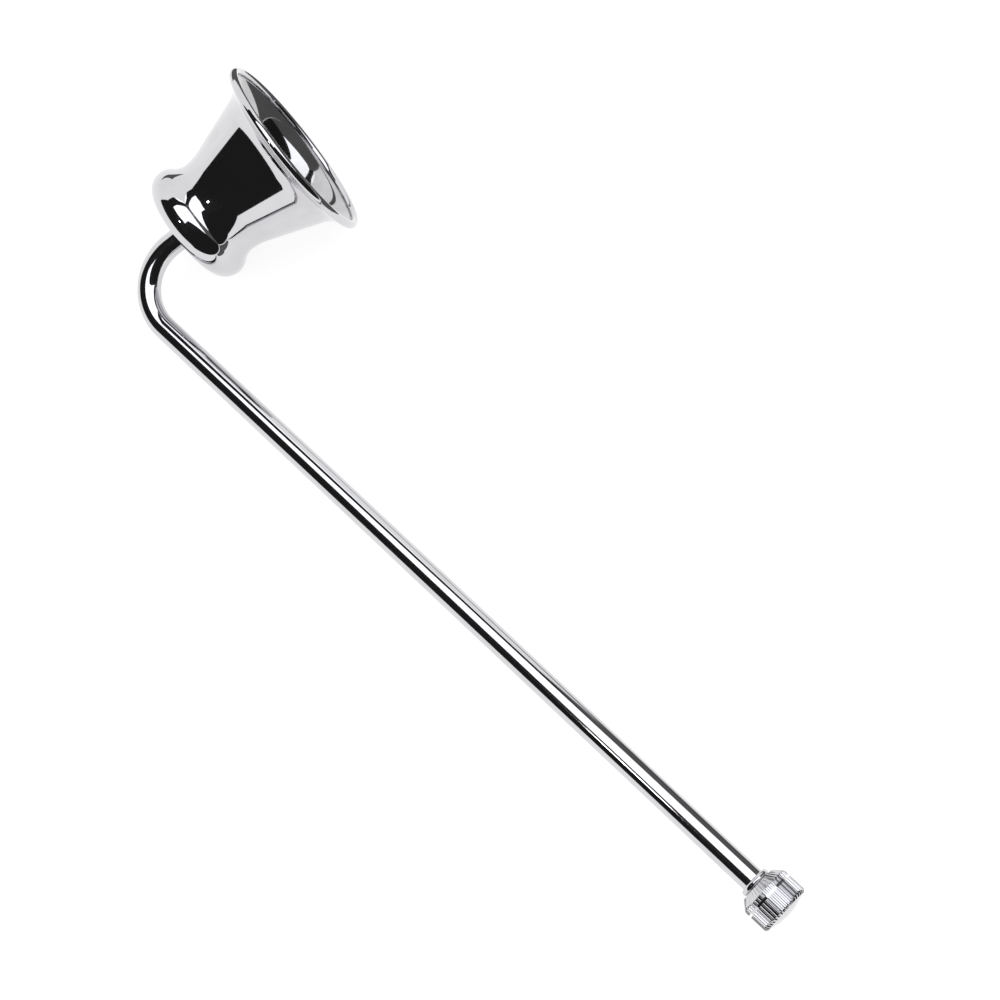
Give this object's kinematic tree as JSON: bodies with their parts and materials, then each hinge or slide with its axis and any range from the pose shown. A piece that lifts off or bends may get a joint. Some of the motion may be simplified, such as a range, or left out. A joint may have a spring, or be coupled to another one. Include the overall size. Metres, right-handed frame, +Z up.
{
  "type": "candle snuffer",
  "caption": "Candle snuffer: a flared mirror-plated bell on a bent tube handle, with a knurled knob that screws off the handle's end.",
  "frame": {"origin": "on the table, under the middle of the lying snuffer's box", "axes": "+Z up from the table, +X along the handle from the bell to the knob, +Y to the side that the bell's mouth faces"},
  "size_m": [0.2178, 0.0636, 0.0434],
  "materials": {
    "mirror_plate": "mirror polished plate",
    "stud_brass": "machined",
    "fastener_steel": "zinc bright"
  },
  "bodies": {
    "handle": {"bell": "mirror_plate", "crown_collar": "mirror_plate", "handle_tube": "mirror_plate", "bell_stud": "stud_brass", "bell_washer": "fastener_steel", "bell_nut": "fastener_steel", "knob_stud": "stud_brass"},
    "ferrule": {"knob_ferrule": "mirror_plate"},
    "knob": {"knob": "mirror_plate"}
  },
  "joints": [
    {"name": "knob_travel", "type": "slide", "parent": "handle", "child": "ferrule", "axis": [1, 0, -0.0075], "range_m": [0, 0.00526]},
    {"name": "knob_turn", "type": "hinge", "parent": "ferrule", "child": "knob", "pos_m": [0.10009, -0.02577, 0.00605], "axis": [1, 0, -0.0075], "range_deg": [0, 2700]}
  ],
  "couplings": [
    {"joint": "knob_travel", "follows": "knob_turn", "m_per_rad": 0.00011141}
  ]
}
